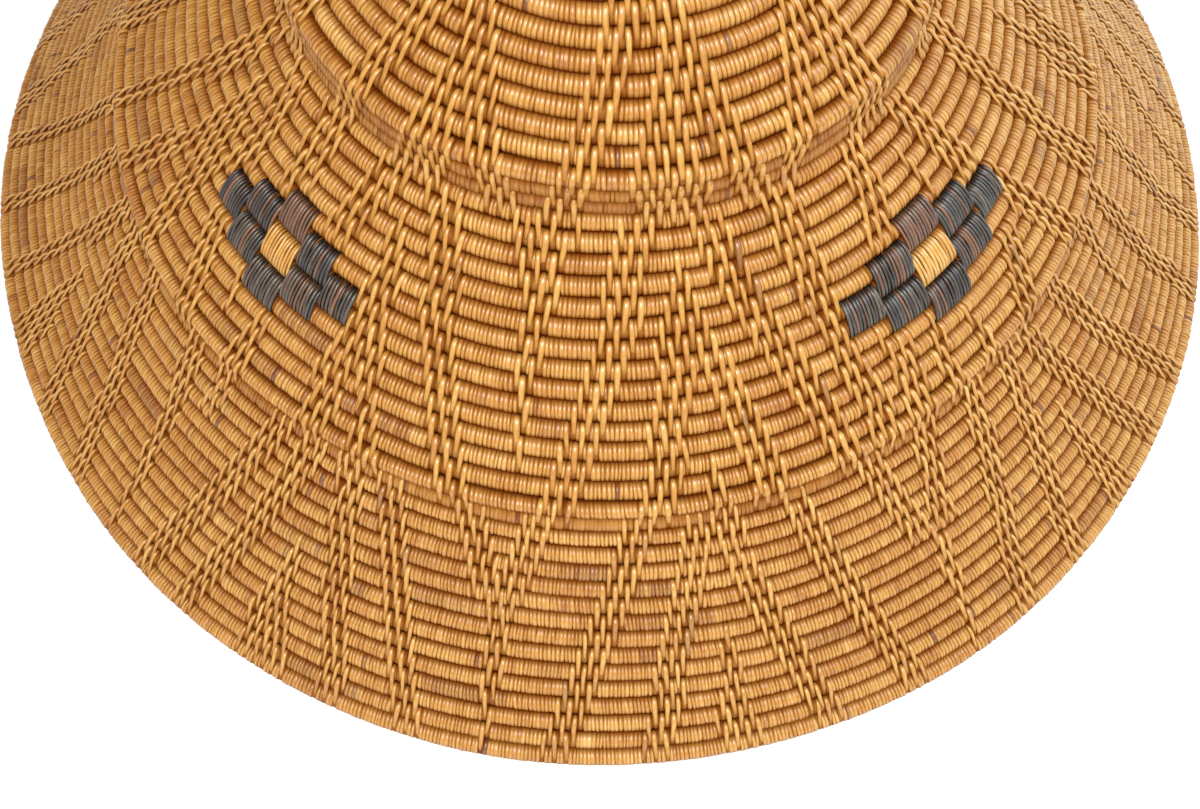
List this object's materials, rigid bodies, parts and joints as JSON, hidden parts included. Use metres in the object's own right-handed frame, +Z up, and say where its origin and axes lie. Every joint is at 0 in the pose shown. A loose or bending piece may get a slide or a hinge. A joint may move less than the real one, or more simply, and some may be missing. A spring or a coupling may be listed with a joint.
{
  "type": "conical hat",
  "caption": "Stepped conical sun hat in coiled basketry, each row wrapped with split cane, with dark check motifs and an open underside for the head.",
  "frame": {"origin": "on the ground under the middle of the rim", "axes": "+Z up along the hat's axis, towards its point; the front faces -Y and +X is to its right as seen from the front"},
  "size_m": [0.4522, 0.4522, 0.2666],
  "materials": {
    "coil_cane": "split cane wraps, honey to amber, satin with age",
    "hoop_cane": "split cane wraps, polished by handling",
    "step_cane": "split cane, flattened and smooth",
    "core_cane": "plain foundation cane, matt",
    "dark_cane": "dyed cane, charcoal with brown streaks, glossy on top",
    "light_cane": "undyed split cane, satin"
  },
  "bodies": {
    "root": {"rim_core": "core_cane", "rim_binding": "hoop_cane", "middle_lip_core": "core_cane", "middle_lip_binding": "hoop_cane", "crown_lip_core": "core_cane", "crown_lip_binding": "hoop_cane", "brim_coils": "coil_cane", "brim_step_row": "step_cane", "middle_coils": "coil_cane", "crown_step_low_row": "step_cane", "crown_step_high_row": "step_cane", "crown_coils": "coil_cane", "crown_button": "hoop_cane", "check_front_left_dark_1": "dark_cane", "check_front_left_dark_2": "dark_cane", "check_front_left_dark_3": "dark_cane", "check_front_left_dark_4": "dark_cane", "check_front_left_dark_5": "dark_cane", "check_front_left_dark_6": "dark_cane", "check_front_left_dark_7": "dark_cane", "check_front_left_dark_8": "dark_cane", "check_front_left_light": "light_cane", "check_front_right_dark_1": "dark_cane", "check_front_right_dark_2": "dark_cane", "check_front_right_dark_3": "dark_cane", "check_front_right_dark_4": "dark_cane", "check_front_right_dark_5": "dark_cane", "check_front_right_dark_6": "dark_cane", "check_front_right_dark_7": "dark_cane", "check_front_right_dark_8": "dark_cane", "check_front_right_light": "light_cane", "check_rear_right_dark_1": "dark_cane", "check_rear_right_dark_2": "dark_cane", "check_rear_right_dark_3": "dark_cane", "check_rear_right_dark_4": "dark_cane", "check_rear_right_dark_5": "dark_cane", "check_rear_right_dark_6": "dark_cane", "check_rear_right_dark_7": "dark_cane", "check_rear_right_dark_8": "dark_cane", "check_rear_right_light": "light_cane", "check_rear_left_dark_1": "dark_cane", "check_rear_left_dark_2": "dark_cane", "check_rear_left_dark_3": "dark_cane", "check_rear_left_dark_4": "dark_cane", "check_rear_left_dark_5": "dark_cane", "check_rear_left_dark_6": "dark_cane", "check_rear_left_dark_7": "dark_cane", "check_rear_left_dark_8": "dark_cane", "check_rear_left_light": "light_cane"}
  },
  "joints": []
}
